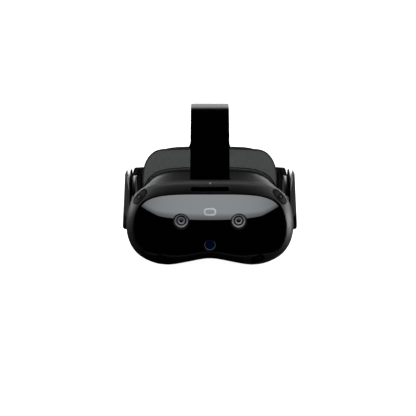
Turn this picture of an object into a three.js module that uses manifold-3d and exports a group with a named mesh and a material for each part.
// A stand-alone virtual-reality headset: a front unit with cameras, displays and lenses, two side arms that
// carry the speakers, a rear battery cradle with a fit dial, a removable face gasket and a top strap.
//
// Millimetres. +X is across, -Y is the side that the visor faces, +Z is up. Depths are measured back from the
// foremost plane; the exported group is moved so that its origin is on the resting plane, under the middle.
import * as THREE from "three";
import { mergeVertices } from "three/addons/utils/BufferGeometryUtils.js";
import Module from "manifold-3d";

const wasm = await Module();
wasm.setup();

// ---------------------------------------------------------------- driving dimensions
const LENGTH = 300; // foremost plane to the back of the fit dial
const NOSE = 2.4; // depth of the window's foremost point
const GAP = 0.4; // clearance between neighbouring pieces
const RECESS = 0.9; // the window's depth below its lip
const AROUND = 32; // points round an outline

// Half outlines, from the top centre round the +X side to the bottom centre, as [x, z].
const BEZEL_HALF = [[0, 97], [34, 96.3], [61, 92.2], [80, 83.2], [91.5, 66.5], [95.8, 42], [91.8, 20.3],
  [78, 5.6], [52, -1], [24, 5.2], [0, 10.2]];
const FACE_HALF = [[0, 99.6], [28, 99.2], [51, 96.2], [69, 86.5], [77.5, 68], [76, 44], [61, 21], [40, 12.8],
  [16, 25], [0, 33]];
const CHEEK_HALF = [[0, 101], [29, 100.6], [53, 97], [70.5, 87], [79.2, 69], [77.5, 44], [62, 20.5],
  [41, 12.5], [15, 28], [0, 38]];
const PAD_HALF = [[0, 88], [30, 88.3], [57, 87.5], [77, 79], [84.6, 62], [84.6, 38], [75, 16], [53, 6],
  [26, 5], [0, 5]];
const CRADLE_HALF = [[0, 84], [30, 84.2], [58, 83.6], [76.5, 76], [85.8, 59], [86, 36], [76, 13.2],
  [53.5, 1.3], [26, -0.8], [0, -0.8]];

// The visor's outer surface: its depth at its nose, and how far it falls back to the sides, top and bottom.
const VISOR = { nose: NOSE - RECESS, centreZ: 52, halfWidth: 94, halfHeight: 50, sideSag: 24, sidePower: 2.3,
  topSag: 15, bottomSag: 8 };
// The bezel's width round the window, and how much wider it is at the two lobes beside the nose.
const LIP = { side: 9.8, top: 11.1, bottom: 9.6, lobe: 4.6, lobeX: 54, lobeReach: 20, recess: RECESS };
const FALL = { side: 0.75, top: 1, bottom: 0.3 }; // how far the bezel falls back towards its outline
const WINDOW_THICK = 2.4;
const HOUSING = { wall: 2.2, startInset: 1.6, start: 15.8, rear: 54, rearWrap: 9 };
const GASKET = { frame: 4, face: 74, faceWrap: 20 };

const EYE = { x: 32.25, z: 54, travel: 3.75 }; // half of the mid pupil distance, and the lens travel each way
const BARREL = { radius: 24.5, front: 31.7, rear: 54.5, wall: 1.6 };
const FACEPLATE = { front: 50.5, thick: 1.6 };
const SCREW = { radius: 1.75, z: 83, depth: 35 };
const ROD = { radius: 1.5, z: 25.5, depth: 35 };

const HUB = { depth: 84, z: 60, radius: 35, bracketRadius: 29 }; // the tilt axis and the round arm ends on it
const ARM = { inner: 91.4, widest: 101.3, lean: 0.06, narrow: 92.8, front: 49.6, straight: 168, rear: 211, bandHalf: 17,
  bandThick: 5.7, drop: 11.5, liner: 1.6, squareness: 0.25 };
const BRACKET = { inner: 86.2, outer: 90.7 };
const PIN = { radius: 4.5, headRadius: 8, from: 83.4, to: 96 };
const CAP_TOP = 43.8; // top of the dark speaker cap on each hub

const REAR = { pad: 236, padWrap: 24, padThick: 13, back: 291, backWrap: 26, backPower: 2.2, backRound: 6,
  midZ: 43 };
const EAR = { inner: 80, outer: 95.4, front: 219, rear: 266, low: 31, high: 63 };
const RACK = { x: 89.1, thick: 2, low: 39, high: 57, front: 170, rear: 258 };
const BATTERY = { half: 62, low: 18, high: 70, front: 251, thick: 14, room: 2.4 };
const DIAL = { radius: 21.5, front: 285.2, z: 43, grips: 14 };
const PINION = { radius: 8, front: 275, rear: 281, teeth: 12 };

const STRAP = { half: 22, thick: 2.2, frontDepth: 36, crown: 0.532, barZ: 91.5 };
// The strap's line from front to rear, as [depth, z]: it rises to a bend, then falls away over the crown.
const STRAP_LINE = [[36, 94.4], [47, 113.5], [62, 132.5], [81, 148.8], [98.5, 160], [104, 162.4],
  [109, 163.4], [117, 163.9], [130, 163.8], [142, 162.2], [165, 154.8], [195, 139.5], [224, 118.5],
  [241, 104.8], [249.4, 98.6]];

// ---------------------------------------------------------------- solids
const V = (x, depth, z) => new THREE.Vector3(x, depth, z);

// Triangles, wound either way, as a solid whose faces point out.
function solidFrom(points, triangles) {
  const vertProperties = new Float32Array(points.flatMap((p) => [p.x, p.y, p.z]));
  const make = (triVerts) => new wasm.Manifold(new wasm.Mesh({ numProp: 3, vertProperties, triVerts }));
  const solid = make(new Uint32Array(triangles.flat()));
  return solid.volume() > 0 ? solid : make(new Uint32Array(triangles.flatMap(([a, b, c]) => [a, c, b])));
}

// A three.js geometry as a solid.
function solidOf(geometry) {
  const bare = geometry.index ? geometry.toNonIndexed() : geometry.clone();
  for (const name of Object.keys(bare.attributes)) if (name !== "position") bare.deleteAttribute(name);
  const merged = mergeVertices(bare, 1e-4);
  const points = [];
  const position = merged.attributes.position;
  for (let i = 0; i < position.count; i++) points.push(new THREE.Vector3().fromBufferAttribute(position, i));
  const triangles = [];
  for (let i = 0; i < merged.index.count; i += 3)
    triangles.push([merged.index.getX(i), merged.index.getX(i + 1), merged.index.getX(i + 2)]);
  return solidFrom(points, triangles);
}

// A solid moved by a matrix.
const moved = (solid, matrix) => solid.transform(matrix.elements);
const shifted = (solid, x, depth, z) => solid.translate([x, depth, z]);
const mirrored = (solid) => solid.scale([-1, 1, 1]);

// Quads between neighbouring rings of one point count. `around` joins the last ring to the first.
function quads(rings, around) {
  const n = rings[0].length;
  const triangles = [];
  for (let k = 0; k < rings.length - (around ? 0 : 1); k++) {
    const a = k * n;
    const b = ((k + 1) % rings.length) * n;
    for (let i = 0; i < n; i++) {
      const j = (i + 1) % n;
      triangles.push([a + i, a + j, b + j], [a + i, b + j, b + i]);
    }
  }
  return triangles;
}

// A ring-shaped solid: its section's points, each as a ring round the outline.
const ringSolid = (rings) => solidFrom(rings.flat(), quads(rings, true));

// A solid skin over rings from one end to the other, closed at both ends by a point: the end ring's middle,
// unless a point is given.
function cappedSolid(rings, firstPole, lastPole) {
  const n = rings[0].length;
  const points = rings.flat();
  const middle = (ring) => ring.reduce((sum, p) => sum.add(p), new THREE.Vector3()).divideScalar(n);
  points.push(firstPole ?? middle(rings[0]), lastPole ?? middle(rings[rings.length - 1]));
  const triangles = quads(rings, false);
  const last = (rings.length - 1) * n;
  for (let i = 0; i < n; i++) {
    const j = (i + 1) % n;
    triangles.push([n * rings.length, j, i], [n * rings.length + 1, last + i, last + j]);
  }
  return solidFrom(points, triangles);
}

// A box from its lowest to its highest corner.
function box(x0, depth0, z0, x1, depth1, z1) {
  const geometry = new THREE.BoxGeometry(x1 - x0, depth1 - depth0, z1 - z0);
  return shifted(solidOf(geometry), (x0 + x1) / 2, (depth0 + depth1) / 2, (z0 + z1) / 2);
}

// A cylinder along the depth, or along X.
function cylinder(radius, from, to, x, z, sides = 18) {
  const geometry = new THREE.CylinderGeometry(radius, radius, to - from, sides);
  return shifted(solidOf(geometry), x, (from + to) / 2, z);
}
function crossCylinder(radius, x0, x1, depth, z, sides = 16) {
  const geometry = new THREE.CylinderGeometry(radius, radius, x1 - x0, sides).rotateZ(Math.PI / 2);
  return shifted(solidOf(geometry), (x0 + x1) / 2, depth, z);
}

// A shape drawn in X and Z, extruded forwards from a depth.
function extruded(shape, thick, x, rearDepth, steps = 5) {
  const options = { depth: thick, bevelEnabled: false, curveSegments: steps };
  const geometry = new THREE.ExtrudeGeometry(shape, options);
  return shifted(solidOf(geometry.rotateX(Math.PI / 2)), x, rearDepth, 0);
}

// A profile of [radius, depth] turned about the depth axis through a point.
function turned(profile, sides, x, depth, z) {
  const points = profile.map(([radius, along]) => new THREE.Vector2(radius, along));
  return shifted(solidOf(new THREE.LatheGeometry(points, sides)), x, depth, z);
}

// A stadium-shaped slab: length and width in its own X and Z, thickness along its own Y, centred.
function stadium(length, width, thick, steps = 4) {
  const r = width / 2;
  const shape = new THREE.Shape();
  shape.absarc(length / 2 - r, 0, r, -Math.PI / 2, Math.PI / 2, false);
  shape.absarc(-length / 2 + r, 0, r, Math.PI / 2, Math.PI * 1.5, false);
  return extruded(shape, thick, 0, thick / 2, steps);
}

// ---------------------------------------------------------------- outlines
// Points round a closed outline with their outward normals, in the X-Z plane.
function outlineOf(half) {
  const right = half.map(([x, z]) => V(x, 0, z));
  const left = half.slice(1, -1).reverse().map(([x, z]) => V(-x, 0, z));
  const curve = new THREE.CatmullRomCurve3([...right, ...left], true, "catmullrom", 0.5);
  const at = (u) => {
    const p = curve.getPoint(((u % 1) + 1) % 1);
    const ahead = curve.getPoint((u + 1.0005) % 1);
    const behind = curve.getPoint((u + 0.9995) % 1);
    const t = ahead.sub(behind).normalize();
    return { x: p.x, z: p.z, nx: -t.z, nz: t.x };
  };
  return { at, points: Array.from({ length: AROUND }, (_, i) => at(i / AROUND)) };
}
const inset = (p, d) => ({ x: p.x - p.nx * d, z: p.z - p.nz * d, nx: p.nx, nz: p.nz });
const toward = (p, share, z) => ({ x: p.x * share, z: z + (p.z - z) * share });

const bezelLine = outlineOf(BEZEL_HALF);
const faceLine = outlineOf(FACE_HALF);
const cheekLine = outlineOf(CHEEK_HALF);
const padLine = outlineOf(PAD_HALF);
const cradleLine = outlineOf(CRADLE_HALF);

const visorDepth = (x, z) =>
  VISOR.nose +
  VISOR.sideSag * (Math.abs(x) / VISOR.halfWidth) ** VISOR.sidePower +
  (z > VISOR.centreZ ? VISOR.topSag : VISOR.bottomSag) * ((z - VISOR.centreZ) / VISOR.halfHeight) ** 2;
// A value that runs from `side` to `top` or `bottom` with the direction that the outline faces.
const byFacing = ({ side, top, bottom }, p) => side + ((p.nz > 0 ? top : bottom) - side) * p.nz ** 2;
const lipWidth = (p) => {
  const nearLobe = Math.exp(-(((Math.abs(p.x) - LIP.lobeX) / LIP.lobeReach) ** 2));
  return byFacing(LIP, p) + LIP.lobe * Math.max(0, -p.nz) ** 2 * nearLobe;
};

// ---------------------------------------------------------------- front unit: bezel and window
// The bezel's section: share of its width in from the outline, depth behind the visor's own surface, and
// the further depth that depends on the fall.
const BEZEL_SECTION = [[1, 3.4, 0], [1, -0.9, 0], [0.84, -1.2, 0], [0.5, -0.4, 1.3], [0.18, 0, 4.4], [0, 0, 11],
  [0.03, 14.4, 0], [0.09, 15, 0], [0.36, 15, 0], [0.5, 6.4, 0]];

function bezelPoint(p, share, depth, falling) {
  const q = inset(p, share * lipWidth(p));
  return V(q.x, visorDepth(q.x, q.z) + depth + falling * byFacing(FALL, p), q.z);
}
const bezelSkin = (u, share) => {
  const rows = BEZEL_SECTION.slice(1, 6);
  const k = Math.min(rows.findIndex(([s]) => s <= share), rows.length - 1) || 1;
  const [before, after] = [rows[k - 1], rows[k]];
  const part = (share - before[0]) / (after[0] - before[0]);
  const mix = (column) => before[column] + (after[column] - before[column]) * part;
  return bezelPoint(bezelLine.at(u), share, mix(1), mix(2));
};

// A local frame on a surface: Y points out of it, X runs along the outline.
function frameOn(surface, u, v, lift = 0) {
  const step = 1e-3;
  const along = surface(u + step, v).sub(surface(u - step, v)).normalize();
  const across = surface(u, v + 0.02).sub(surface(u, v - 0.02)).normalize();
  const out = new THREE.Vector3().crossVectors(along, across).normalize();
  const centre = V(0, 60, VISOR.centreZ);
  const origin = surface(u, v);
  if (out.dot(origin.clone().sub(centre)) < 0) out.negate();
  const side = new THREE.Vector3().crossVectors(along, out).normalize();
  return new THREE.Matrix4().makeBasis(along, out, side).setPosition(origin.addScaledVector(out, lift));
}

const POD = { upper: 0.1565, lower: 0.3955, upperShare: 0.38, lowerShare: 0.62, length: 21, width: 12,
  lowerLength: 16.5, lowerWidth: 11, deep: 4 };
const podFrames = {
  upper_right: frameOn(bezelSkin, POD.upper, POD.upperShare),
  upper_left: frameOn(bezelSkin, 1 - POD.upper, POD.upperShare),
  lower_right: frameOn(bezelSkin, POD.lower, POD.lowerShare),
  lower_left: frameOn(bezelSkin, 1 - POD.lower, POD.lowerShare),
};
function podSlab(name, grow) {
  const [length, width] = name.startsWith("upper") ? [POD.length, POD.width] : [POD.lowerLength, POD.lowerWidth];
  return moved(stadium(length + 2 * grow, width + 2 * grow, 2 * (POD.deep + grow)), podFrames[name]);
}
const MICROPHONE_Z = 95.1;
const VENT = { half: 21.5, low: 87.4, high: 92.3, deep: 16.5 };
const ventSlab = (grow) =>
  shifted(stadium(2 * (VENT.half + grow), VENT.high - VENT.low + 2 * grow, 14), 0, VENT.deep - 4,
    (VENT.low + VENT.high) / 2);

const bezelSolid = ringSolid(
  BEZEL_SECTION.map(([share, depth, falling]) =>
    bezelLine.points.map((p) => bezelPoint(p, share, depth, falling))),
);

function frontBezel() {
  const cutters = Object.keys(podFrames).map((name) => podSlab(name, GAP));
  cutters.push(ventSlab(0).intersect(box(-30, -5, 80, 30, 17.4, 110)));
  cutters.push(cylinder(0.9, 10, 22, 0, MICROPHONE_Z, 10));
  cutters.push(box(-120, -20, -20, 120, 80, 0)); // the flats that it rests on
  return cutters.reduce((solid, cutter) => solid.subtract(cutter), bezelSolid);
}

// A tracking camera: a stadium cover that follows the bezel, with a round lens window standing in it.
function trackingCamera(name) {
  const cover = podSlab(name, 0);
  const frame = podFrames[name];
  const lens = moved(solidOf(new THREE.CylinderGeometry(3.1, 3.4, 1.2, 18).translate(0, 0.3, 0)), frame);
  return cover.intersect(bezelSolid).add(lens);
}

// The vent's grille: a bar across with upright ribs.
function ventGrille() {
  const ribs = Array.from({ length: 7 }, (_, i) => {
    const x = (i - 3) * 5.6;
    return box(x - 1, 14.6, VENT.low + GAP, x + 1, 16.4, VENT.high - GAP);
  });
  const back = ventSlab(-GAP).intersect(box(-30, 16.2, 80, 30, 17.2, 110));
  return ribs.reduce((solid, rib) => solid.add(rib), back);
}

// The glossy window: a curved plate inside the bezel's lip.
const CAMERAS = { x: 32.1, z: 54.5, radius: 9.2 };
const SENSOR = { z: 27.4, radius: 5.2 };

function windowSolid() {
  const rim = bezelLine.points.map((p) => inset(p, lipWidth(p) + GAP));
  const ring = (share, extra) =>
    rim.map((p) => {
      const q = toward(p, share, VISOR.centreZ);
      return V(q.x, visorDepth(q.x, q.z) + extra, q.z);
    });
  const shares = [0.35, 0.7, 0.98];
  const outside = LIP.recess;
  const inside = LIP.recess + WINDOW_THICK;
  const front = shares.map((s) => ring(s, outside));
  const back = [...shares].reverse().map((s) => ring(s, inside));
  return cappedSolid([...front, ring(1, outside + 0.6), ring(1, inside), ...back],
    V(0, VISOR.nose + outside, VISOR.centreZ), V(0, VISOR.nose + inside, VISOR.centreZ));
}

function frontWindow() {
  const { x, z, radius } = CAMERAS;
  const holes = [-x, x].map((at) => cylinder(radius + GAP, -5, 20, at, z, 20));
  holes.push(cylinder(SENSOR.radius + GAP, -5, 20, 0, SENSOR.z, 16));
  return holes.reduce((solid, hole) => solid.subtract(hole), windowSolid());
}

// A see-through camera: a stepped barrel with a domed lens, behind a conical surround.
function passthroughCamera(side) {
  const front = visorDepth(CAMERAS.x, CAMERAS.z) + LIP.recess;
  const profile = [[0, 1.6], [2.4, 2.4], [4, 2.4], [8.4, 0.2], [9.2, 0.2], [9.2, 5], [6.5, 5], [6.5, 9],
    [0, 9]];
  return turned(profile, 20, side * CAMERAS.x, front, CAMERAS.z);
}

function depthSensor() {
  const front = visorDepth(0, SENSOR.z) + LIP.recess;
  const profile = [[0, 0.9], [4.2, 0.9], [4.6, 0.1], [5.2, 0.1], [5.2, 6], [0, 6]];
  return turned(profile, 16, 0, front, SENSOR.z);
}

function frontMicrophone() {
  return shifted(solidOf(new THREE.CylinderGeometry(0.5, 0.5, 3, 8)), 0, 18.6, MICROPHONE_Z);
}

// ---------------------------------------------------------------- front unit: housing
const rearEdge = (x) => HOUSING.rear + HOUSING.rearWrap * (x / 75) ** 2;

function housingPoint(u, v, d = 0) {
  const a = inset(bezelLine.at(u), HOUSING.startInset + d);
  const b = inset(faceLine.at(u), d);
  const share = v ** 1.3;
  const x = a.x + (b.x - a.x) * share;
  const z = a.z + (b.z - a.z) * share;
  const outline = bezelLine.at(u);
  const start = visorDepth(outline.x, outline.z) + HOUSING.start;
  return V(x, start + (rearEdge(b.x) - start) * v, z);
}
const housingRing = (v, d) => Array.from({ length: AROUND }, (_, i) => housingPoint(i / AROUND, v, d));
const HOUSING_STEPS = [0, 0.35, 0.7, 1];
const housingCore = (d) => cappedSolid(HOUSING_STEPS.map((v) => housingRing(v, d)));

const CONTROLS = { v: 0.42, power: 0.62, port: 0.578, volumeUp: 0.37, volumeDown: 0.395, jack: 0.43 };
const slabOn = (u, length, width, thick, lift = 0) =>
  moved(stadium(length, width, thick), frameOn((a, b) => housingPoint(a, b), u, CONTROLS.v, lift));

function mainHousing() {
  const outside = HOUSING_STEPS.map((v) => housingRing(v, 0));
  const inside = [...HOUSING_STEPS].reverse().map((v) => housingRing(v, HOUSING.wall));
  const cutters = [
    box(-STRAP.half - 1, STRAP.frontDepth - 2.2, 90, STRAP.half + 1, STRAP.frontDepth + 3.2, 110),
    slabOn(CONTROLS.power, 12 + 2 * GAP, 5 + 2 * GAP, 12),
    slabOn(CONTROLS.volumeUp, 7.6 + 2 * GAP, 5 + 2 * GAP, 12),
    slabOn(CONTROLS.volumeDown, 7.6 + 2 * GAP, 5 + 2 * GAP, 12),
    slabOn(CONTROLS.port, 10 + 2 * GAP, 4.4 + 2 * GAP, 12),
    slabOn(CONTROLS.jack, 7 + 2 * GAP, 7 + 2 * GAP, 12),
  ];
  return cutters.reduce((solid, cutter) => solid.subtract(cutter), ringSolid([...outside, ...inside]));
}

const button = (u, length) => slabOn(u, length, 5, 4.4, -0.9);

function usbPort() {
  const shell = slabOn(CONTROLS.port, 10, 4.4, 6, -2.6);
  return shell.subtract(slabOn(CONTROLS.port, 8.4, 2.8, 6, -0.4));
}

function audioJack() {
  return slabOn(CONTROLS.jack, 7, 7, 6, -2.6).subtract(slabOn(CONTROLS.jack, 3.5, 3.5, 9, -0.4));
}

// A flat plate with the face outline, drawn in from it, and round or long holes through it.
function platePiece(line, d, front, thick, holes) {
  const corners = line.points.map((p) => inset(p, d)).map(({ x, z }) => new THREE.Vector2(x, z));
  const plate = extruded(new THREE.Shape(corners.reverse()), thick, 0, front + thick);
  return holes.reduce((solid, hole) => solid.subtract(hole), plate);
}

function facePlate() {
  const holes = [-1, 1].map((side) =>
    shifted(stadium(2 * (BARREL.radius + GAP + EYE.travel + 0.3), 2 * (BARREL.radius + 0.8), 20, 14),
      side * EYE.x, FACEPLATE.front, EYE.z));
  return platePiece(faceLine, HOUSING.wall + 4.5 * GAP, FACEPLATE.front, FACEPLATE.thick, holes);
}

function proximitySensor() {
  return shifted(stadium(7, 3.6, 2.2), 0, FACEPLATE.front + FACEPLATE.thick + 1.1 + GAP, 88);
}

function chassisFrame() {
  const holes = [-1, 1].map((side) => shifted(stadium(40, 40, 20, 10), side * 33, 25, 53));
  return platePiece(faceLine, 9.5, 24.6, 2, holes);
}

const mainBoard = () => box(-54, 20.6, 30, 54, 22.2, 78);

function heatSink() {
  const places = Array.from({ length: 9 }, (_, i) => (i - 4) * 6);
  const fins = places.map((x) => box(x - 0.8, 12, 33, x + 0.8, 18.4, 52));
  return fins.reduce((solid, fin) => solid.add(fin), box(-26, 18, 32, 26, 20.2, 53));
}

// The fan: a frame with a round duct, and its rotor on a short hub.
const FAN = { z: 71, radius: 11, front: 13.4, rear: 19.6 };
function fanFrame() {
  return box(-13.4, FAN.front, FAN.z - 13.4, 13.4, FAN.rear + 0.6, FAN.z + 13.4)
    .subtract(cylinder(FAN.radius + 0.8, FAN.front - 1, FAN.rear - 0.4, 0, FAN.z, 24));
}
function fanRotor() {
  const blades = Array.from({ length: 7 }, (_, i) => {
    const blade = new THREE.BoxGeometry(1, 3.4, FAN.radius - 3).translate(0, 0, (FAN.radius + 3) / 2);
    return shifted(solidOf(blade.rotateY((i * 2 * Math.PI) / 7)), 0, FAN.front + 2.6, FAN.z);
  });
  const hub = cylinder(4.4, FAN.front + 0.6, FAN.rear - 1, 0, FAN.z, 20);
  return blades.reduce((solid, blade) => solid.add(blade), hub);
}

// ---------------------------------------------------------------- optics
function lensBarrel(side) {
  const x = side * EYE.x;
  const lug = (z) => box(x - 4, 31.7, z - 4, x + 4, 38.6, z + 4);
  return cylinder(BARREL.radius, BARREL.front, BARREL.rear, x, EYE.z, 24)
    .add(lug(SCREW.z - 1))
    .add(lug(ROD.z + 1))
    .subtract(cylinder(BARREL.radius - BARREL.wall, BARREL.front - 1, BARREL.rear + 1, x, EYE.z, 24))
    .subtract(crossCylinder(SCREW.radius + GAP, x - 10, x + 10, SCREW.depth, SCREW.z, 12))
    .subtract(crossCylinder(ROD.radius + GAP, x - 10, x + 10, ROD.depth, ROD.z, 12));
}

function lens(side) {
  const r = BARREL.radius - BARREL.wall - GAP;
  const profile = [[0, 47.5], [r, 48.6], [r, 51], [r * 0.6, 53.3], [0, 54.2]];
  return turned(profile, 24, side * EYE.x, 0, EYE.z);
}

const display = (side) => {
  const x = side * EYE.x;
  return box(x - 23.5, 29, EYE.z - 22, x + 23.5, 31.3, EYE.z + 22);
};

const leadScrew = () => crossCylinder(SCREW.radius, -50, 50, SCREW.depth, SCREW.z, 14);
const guideRod = () => crossCylinder(ROD.radius, -56, 56, ROD.depth, ROD.z, 14);
const ipdMotor = () => box(50.5, 30, SCREW.z - 6, 59.5, 40, SCREW.z + 3);

// ---------------------------------------------------------------- face gasket
// A band that follows the housing's rear edge, between two insets and two depths behind that edge.
function gasketBand(outer, inner, from, to) {
  const ring = (d, extra) => faceLine.points.map((p) => {
    const q = inset(p, d);
    return V(q.x, rearEdge(p.x) + extra, q.z);
  });
  return ringSolid([ring(outer, from), ring(outer, to), ring(inner, to), ring(inner, from)]);
}

function gasketFrame() {
  return gasketBand(0.4, 7, 0.5, 0.5 + GASKET.frame);
}

function faceCushion() {
  const start = 1 + GASKET.frame;
  const faceDepth = (x) => GASKET.face + GASKET.faceWrap * (x / 77) ** 2;
  const ring = (share, d, back) => faceLine.points.map((p, i) => {
    const a = inset(p, d);
    const b = inset(cheekLine.points[i], d);
    const from = rearEdge(p.x) + start;
    const depth = from + (faceDepth(p.x) - from) * share - back;
    return V(a.x + (b.x - a.x) * share, depth, a.z + (b.z - a.z) * share);
  });
  const outside = [ring(0, 0.6, 0), ring(0.45, -0.6, 0), ring(0.85, 0.2, 0), ring(1, 3.5, 0)];
  return ringSolid([...outside, ring(1, 9, 0.6), ring(0.8, 12.5, 0), ring(0.4, 12.5, 0), ring(0, 9, 0)]);
}

function noseFlap() {
  const shape = new THREE.Shape();
  shape.moveTo(-19, 29);
  shape.quadraticCurveTo(-9, 41, 0, 44);
  shape.quadraticCurveTo(9, 41, 19, 29);
  shape.quadraticCurveTo(24, 40, 13, 47);
  shape.quadraticCurveTo(0, 54, -13, 47);
  shape.quadraticCurveTo(-24, 40, -19, 29);
  const frameRoom = gasketBand(-6, 7 + GAP, 0, 1.2 + GASKET.frame);
  return extruded(shape, 1, 0, rearEdge(0) + GASKET.frame - 1).subtract(frameRoom);
}
// ---------------------------------------------------------------- side arms (drawn for +X)
const armTopAndBottom = (depth) => {
  const off = Math.abs(depth - HUB.depth);
  const round = off < HUB.radius ? Math.sqrt(HUB.radius ** 2 - off ** 2) : 0;
  const behind = Math.max(0, (depth - HUB.depth) / (ARM.rear - HUB.depth));
  const middle = HUB.z - ARM.drop * behind;
  const band = depth > HUB.depth ? ARM.bandHalf : 0;
  const fillet = 9 * Math.exp(-(((depth - 118) / 16) ** 2)); // the hub runs into the band in a curve
  return {
    low: Math.min(HUB.z - round, middle - band - fillet),
    high: Math.max(HUB.z + round, middle + band + fillet),
  };
};
const ease = (from, to, value) => THREE.MathUtils.smoothstep(value, from, to);
const armOuter = (depth) => {
  const frontRound = 8 * (Math.max(0, 96 - depth) / 46) ** 2;
  return ARM.widest - frontRound - (ARM.widest - ARM.narrow) * ease(98, ARM.straight, depth);
};
// The outer face leans out towards its foot, round the hub.
const armLean = (depth, z) => ARM.lean * (HUB.z - z) * (1 - ease(98, 130, depth));
const armInner = (depth) =>
  ARM.inner + (armOuter(depth) - ARM.bandThick - ARM.inner) * ease(100, 138, depth);
const ARM_DEPTHS = [ARM.front, 51.5, 56, 64, 75, 86, 96, 106, 113, 119, 127, 138, 150, ARM.straight,
  ARM.rear];

// The arm between two shares of its thickness, 0 at the head and 1 outside.
function armSlab(fromShare, toShare, grow = 0) {
  const turns = 8;
  const rings = ARM_DEPTHS.map((depth) => {
    const { low, high } = armTopAndBottom(depth);
    const middle = (low + high) / 2;
    const half = Math.max(3, (high - low) / 2) + grow;
    const inner = armInner(depth);
    const thick = Math.max(1.2, armOuter(depth) + grow - inner);
    const a = inner + fromShare;
    const b = toShare === 1 ? inner + thick : Math.min(inner + toShare, inner + thick);
    const ring = [];
    for (let i = 0; i <= turns; i++) {
      const angle = -Math.PI / 2 + (Math.PI * i) / turns;
      const squash = Math.max(0, Math.cos(angle)) ** ARM.squareness;
      const z = middle + half * Math.sin(angle);
      const lean = toShare === 1 ? armLean(depth, z) : 0;
      ring.push(V(a + Math.max(0.3, b + lean - a) * squash, depth, z));
    }
    return ring;
  });
  return cappedSolid(rings);
}

const hubDisc = (radius, x0, x1, sides = 28) => crossCylinder(radius, x0, x1, HUB.depth, HUB.z, sides);
const capRegion = (top) => box(80, 40, 0, 120, 121, top);
const SPEAKER = { radius: 11.5, depth: 92, z: 36, x0: 94.2, x1: 97.2 };

function armCover() {
  return armSlab(ARM.liner + GAP, 1)
    .subtract(capRegion(CAP_TOP + GAP))
    .subtract(hubDisc(PIN.radius + GAP, 80, PIN.to + GAP, 20))
    .subtract(rackSlot(ARM.straight));
}
function armLiner() {
  const slots = Array.from({ length: 5 }, (_, i) => box(88, 80 + i * 5, 31, 98, 82.4 + i * 5, 41));
  const solid = armSlab(0, ARM.liner).subtract(hubDisc(PIN.radius + GAP, 80, 100, 20));
  return slots.reduce((liner, slot) => liner.subtract(slot), solid);
}
function speakerCap() {
  return armSlab(ARM.liner + GAP, 1, 1)
    .intersect(capRegion(CAP_TOP))
    .subtract(crossCylinder(SPEAKER.radius + GAP, 80, SPEAKER.x1 + GAP, SPEAKER.depth, SPEAKER.z, 20));
}
function speakerDriver() {
  const { radius, x0, x1, depth, z } = SPEAKER;
  return crossCylinder(radius, x0, x1, depth, z, 20).intersect(capRegion(CAP_TOP));
}

function pivotPin() {
  const head = hubDisc(PIN.headRadius, PIN.from - 0.2, BRACKET.inner - GAP, 24);
  return hubDisc(PIN.radius, PIN.from, PIN.to, 20).add(head);
}

function hingeBracket() {
  const neck = box(74, 45.5, 46, BRACKET.outer, 66, 78);
  return hubDisc(HUB.bracketRadius, BRACKET.inner, BRACKET.outer)
    .add(neck)
    .subtract(housingCore(-GAP))
    .subtract(hubDisc(PIN.radius + GAP, 80, 100, 20))
    .subtract(hubDisc(PIN.headRadius + GAP, 60, BRACKET.inner, 24))
    .subtract(faceReach());
}
// The room that the gasket needs as it comes off, with clearance.
function faceReach() {
  const wide = (line, d) => line.points.map((p) => inset(p, -d));
  const ring = (line, depth) => wide(line, 2).map((p) => V(p.x, depth, p.z));
  return cappedSolid([ring(faceLine, HOUSING.rear - 1), ring(cheekLine, 64), ring(cheekLine, 130)]);
}

const rackBand = () => box(RACK.x, RACK.front, RACK.low, RACK.x + RACK.thick, RACK.rear, RACK.high);
// The slot that a rack band slides in, from a depth to past the band's rear end.
const rackSlot = (from) =>
  box(RACK.x - GAP, from, RACK.low - GAP, RACK.x + RACK.thick + GAP, RACK.rear + 2, RACK.high + GAP);

// ---------------------------------------------------------------- rear unit
const padFace = (x) => REAR.pad - REAR.padWrap * (x / 84) ** 2;
function cradleBack(x, z) {
  const wrap = REAR.backWrap * (Math.abs(x) / 88) ** REAR.backPower;
  return REAR.back - wrap - REAR.backRound * ((z - REAR.midZ) / 44) ** 2;
}

function rearPad() {
  const ring = (share, extra) => padLine.points.map((p) => {
    const q = toward(p, share, REAR.midZ);
    return V(q.x, padFace(q.x) + extra, q.z);
  });
  const shares = [0.4, 0.8];
  const front = shares.map((s) => ring(s, 0.4 * s));
  const back = [...shares].reverse().map((s) => ring(s, REAR.padThick));
  const side = [ring(0.96, 1.6), ring(1, 5), ring(0.985, REAR.padThick - 1), ring(0.96, REAR.padThick)];
  return cappedSolid([...front, ...side, ...back],
    V(0, REAR.pad, REAR.midZ), V(0, REAR.pad + REAR.padThick, REAR.midZ));
}

function cradleCore(grow = 0) {
  const ring = (share, depthAt) => cradleLine.points.map((p) => {
    const q = toward(inset(p, -grow), share, REAR.midZ);
    return V(q.x, depthAt(q.x, q.z), q.z);
  });
  const front = (x) => padFace(x) + REAR.padThick + 3 * GAP;
  const shares = [0.35, 0.7];
  return cappedSolid([
    ...shares.map((s) => ring(s, front)),
    ring(0.97, front),
    ring(1, (x) => front(x) + 2.5),
    ring(0.965, (x, z) => cradleBack(x, z) - 15),
    ring(0.93, (x, z) => cradleBack(x, z) - 7),
    ring(0.86, (x, z) => cradleBack(x, z) - 2),
    ring(0.76, cradleBack),
    ring(0.4, cradleBack),
  ], V(0, front(0), REAR.midZ), V(0, REAR.back, REAR.midZ));
}

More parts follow.
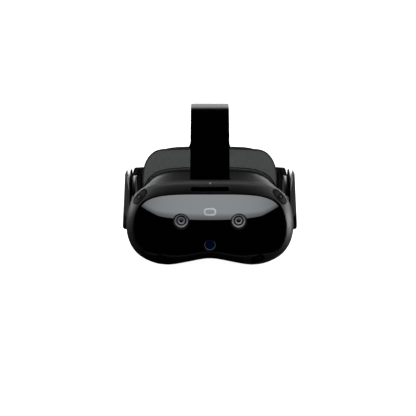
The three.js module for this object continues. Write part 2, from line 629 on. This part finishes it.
// The ear at each side that an arm's rack band slides into.
function ear(side) {
  const shape = new THREE.Shape();
  const [w, h, r] = [(EAR.outer - EAR.inner) / 2, (EAR.high - EAR.low) / 2, 5];
  shape.absarc(w - r, h - r, r, 0, Math.PI / 2);
  shape.lineTo(-w, h);
  shape.lineTo(-w, -h);
  shape.absarc(w - r, -h + r, r, -Math.PI / 2, 0);
  const slab = extruded(shape, EAR.rear - EAR.front, (EAR.inner + EAR.outer) / 2, EAR.rear);
  const solid = shifted(slab, 0, 0, (EAR.low + EAR.high) / 2);
  return side > 0 ? solid : mirrored(solid);
}

// The room that the pad takes and leaves by, with clearance.
function padReach() {
  const ring = (share, grow) => padLine.points.map((p) => {
    const q = toward(inset(p, -grow), share, REAR.midZ);
    return V(q.x, padFace(q.x) + REAR.padThick + GAP, q.z);
  });
  const open = padLine.points.map((p) => V(inset(p, -2 * GAP).x, 150, inset(p, -2 * GAP).z));
  return cappedSolid([open, ring(1, 2 * GAP), ring(0.8, 0), ring(0.55, 0), ring(0.3, 0)], null,
    V(0, REAR.pad + REAR.padThick + GAP, REAR.midZ));
}

function rearCradle() {
  const sides = [-1, 1];
  const { half, low, high, front, thick, room } = BATTERY;
  const cutters = [
    rackSlot(200),
    mirrored(rackSlot(200)),
    box(-half - room, 225, low - room, half + room, front + thick + GAP, high + room), // open to the front
    cylinder(PINION.radius + 1.2, PINION.front - 0.6, 300, 0, DIAL.z, 24),
    cylinder(DIAL.radius + 0.8, DIAL.front - GAP, 320, 0, DIAL.z, 28),
    box(-120, 200, -20, 120, 320, 0), // the flat that it rests on
  ];
  const whole = sides.reduce((solid, side) => solid.add(ear(side).subtract(padReach())), cradleCore());
  return cutters.reduce((solid, cutter) => solid.subtract(cutter), whole);
}

const batteryPack = () => {
  const { half, low, high, front, thick } = BATTERY;
  return box(-half, front, low, half, front + thick, high);
};

function fitDial() {
  const r = DIAL.radius;
  const profile = [[0, 0], [r - 1, 0], [r, 1], [r, 11], [r - 4, 14.8], [r - 8, 13.4], [0, 13]];
  const grips = Array.from({ length: DIAL.grips }, (_, i) => {
    const angle = (i * 2 * Math.PI) / DIAL.grips;
    return cylinder(1.1, 5, 20, (r + 0.3) * Math.cos(angle), (r + 0.3) * Math.sin(angle), 6);
  });
  const body = grips.reduce((solid, grip) => solid.subtract(grip), turned(profile, 28, 0, 0, 0));
  return shifted(body, 0, DIAL.front, DIAL.z);
}

function dialPinion() {
  const teeth = Array.from({ length: PINION.teeth }, (_, i) => {
    const tooth = new THREE.BoxGeometry(1.8, PINION.rear - PINION.front, 2.6);
    tooth.translate(0, 0, PINION.radius - 1.3).rotateY((i * 2 * Math.PI) / PINION.teeth);
    return shifted(solidOf(tooth), 0, (PINION.front + PINION.rear) / 2, DIAL.z);
  });
  const core = cylinder(PINION.radius - 2, PINION.front, PINION.rear, 0, DIAL.z, 24)
    .add(cylinder(3, PINION.rear - 1, DIAL.front - GAP, 0, DIAL.z, 16));
  return teeth.reduce((solid, tooth) => solid.add(tooth), core);
}

// A loop on the cradle's top edge that the strap runs through.
function strapLoop() {
  const shape = new THREE.Shape([[-28, 84], [28, 84], [27, 93], [25, 96.6], [-25, 96.6], [-27, 93]]
    .map(([x, z]) => new THREE.Vector2(x, z)));
  return extruded(shape, 4.4, 0, 254.8)
    .subtract(box(-STRAP.half - 0.8, 240, 90, STRAP.half + 0.8, 270, 94.4))
    .subtract(cradleCore(GAP));
}

// ---------------------------------------------------------------- top strap
const strapCurve = new THREE.CatmullRomCurve3(
  STRAP_LINE.map(([depth, z]) => V(0, depth, z)), false, "catmullrom", 0.5);

// The strap between two shares of its line.
function strapPiece(from, to, steps) {
  const rings = [];
  for (let i = 0; i <= steps; i++) {
    const share = from + ((to - from) * i) / steps;
    const p = strapCurve.getPoint(share);
    const ahead = strapCurve.getTangent(share);
    const corner = (x, lift) => V(x, p.y - ahead.z * lift, p.z + ahead.y * lift);
    const [half, rise] = [STRAP.half, STRAP.thick / 2];
    rings.push([corner(-half, -rise), corner(half, -rise), corner(half, rise), corner(-half, rise)]);
  }
  return cappedSolid(rings);
}

const topStrapFront = () => strapPiece(0, STRAP.crown - 0.0003, 18);
const topStrapRear = () => strapPiece(STRAP.crown + 0.0003, 1, 14);
const strapBar = () => crossCylinder(1.6, -26, 26, STRAP.frontDepth, STRAP.barZ, 12);

// ---------------------------------------------------------------- materials and assembly
const finish = (color, roughness, metalness = 0) =>
  new THREE.MeshStandardMaterial({ color, roughness, metalness });
const looks = {
  shell: finish(0x3a3b3d, 0.55),
  gloss: finish(0x050506, 0.06),
  black: finish(0x101011, 0.5),
  glass: finish(0x11141a, 0.05),
  blue: finish(0x04104a, 0.2),
  fabric: finish(0x424644, 0.9),
  leather: finish(0x18191a, 0.7),
  strap: finish(0x060606, 0.85),
  rubber: finish(0x0c0c0c, 0.8),
  steel: finish(0xb5b7ba, 0.3, 1),
  magnesium: finish(0x6f7276, 0.45, 1),
  board: finish(0x0d3a24, 0.6),
};

const headset = new THREE.Group();
headset.position.y = -(LENGTH + NOSE) / 2;

function place(name, solid, material) {
  const mesh = solid.getMesh();
  const geometry = new THREE.BufferGeometry();
  const positions = new Float32Array(mesh.numVert * 3);
  for (let i = 0; i < mesh.numVert; i++)
    positions.set(mesh.vertProperties.subarray(i * mesh.numProp, i * mesh.numProp + 3), i * 3);
  geometry.setAttribute("position", new THREE.BufferAttribute(positions, 3));
  geometry.setIndex(new THREE.BufferAttribute(mesh.triVerts, 1));
  geometry.computeVertexNormals();
  const piece = new THREE.Mesh(geometry, material);
  piece.name = name;
  headset.add(piece);
}
// A piece at +X and its mirror image at -X.
function placePair(name, solid, material) {
  place(`${name}_right`, solid, material);
  place(`${name}_left`, mirrored(solid), material);
}

place("front_bezel", frontBezel(), looks.shell);
place("front_window", frontWindow(), looks.gloss);
place("main_housing", mainHousing(), looks.shell);
for (const where of Object.keys(podFrames))
  place(`tracking_camera_${where}`, trackingCamera(where), looks.black);
placePair("colour_camera", passthroughCamera(1), looks.glass);
place("depth_sensor", depthSensor(), looks.blue);
place("vent_grille", ventGrille(), looks.black);
place("front_microphone", frontMicrophone(), looks.steel);
place("power_button", button(CONTROLS.power, 12), looks.black);
place("volume_up_button", button(CONTROLS.volumeUp, 7.6), looks.black);
place("volume_down_button", button(CONTROLS.volumeDown, 7.6), looks.black);
place("usb_port", usbPort(), looks.steel);
place("audio_jack", audioJack(), looks.black);
place("face_plate", facePlate(), looks.black);
place("proximity_sensor", proximitySensor(), looks.glass);
place("chassis_frame", chassisFrame(), looks.magnesium);
place("main_board", mainBoard(), looks.board);
place("heat_sink", heatSink(), looks.magnesium);
place("fan_frame", fanFrame(), looks.black);
place("fan_rotor", fanRotor(), looks.black);
placePair("lens_barrel", lensBarrel(1), looks.black);
placePair("eye_lens", lens(1), looks.glass);
placePair("display_panel", display(1), looks.gloss);
place("ipd_lead_screw", leadScrew(), looks.steel);
place("ipd_guide_rod", guideRod(), looks.steel);
place("ipd_motor", ipdMotor(), looks.steel);
place("gasket_frame", gasketFrame(), looks.black);
place("face_cushion", faceCushion(), looks.leather);
place("nose_flap", noseFlap(), looks.rubber);
placePair("hinge_bracket", hingeBracket(), looks.shell);
placePair("pivot_pin", pivotPin(), looks.steel);
placePair("arm_cover", armCover(), looks.shell);
placePair("arm_liner", armLiner(), looks.black);
placePair("speaker_cap", speakerCap(), looks.gloss);
placePair("speaker_driver", speakerDriver(), looks.black);
placePair("rack_band", rackBand(), looks.black);
place("rear_cradle", rearCradle(), looks.shell);
place("rear_pad", rearPad(), looks.fabric);
place("battery_pack", batteryPack(), looks.black);
place("fit_dial", fitDial(), looks.rubber);
place("dial_pinion", dialPinion(), looks.black);
place("strap_loop", strapLoop(), looks.black);
place("strap_bar", strapBar(), looks.steel);
place("top_strap_front", topStrapFront(), looks.strap);
place("top_strap_rear", topStrapRear(), looks.strap);

export default headset;
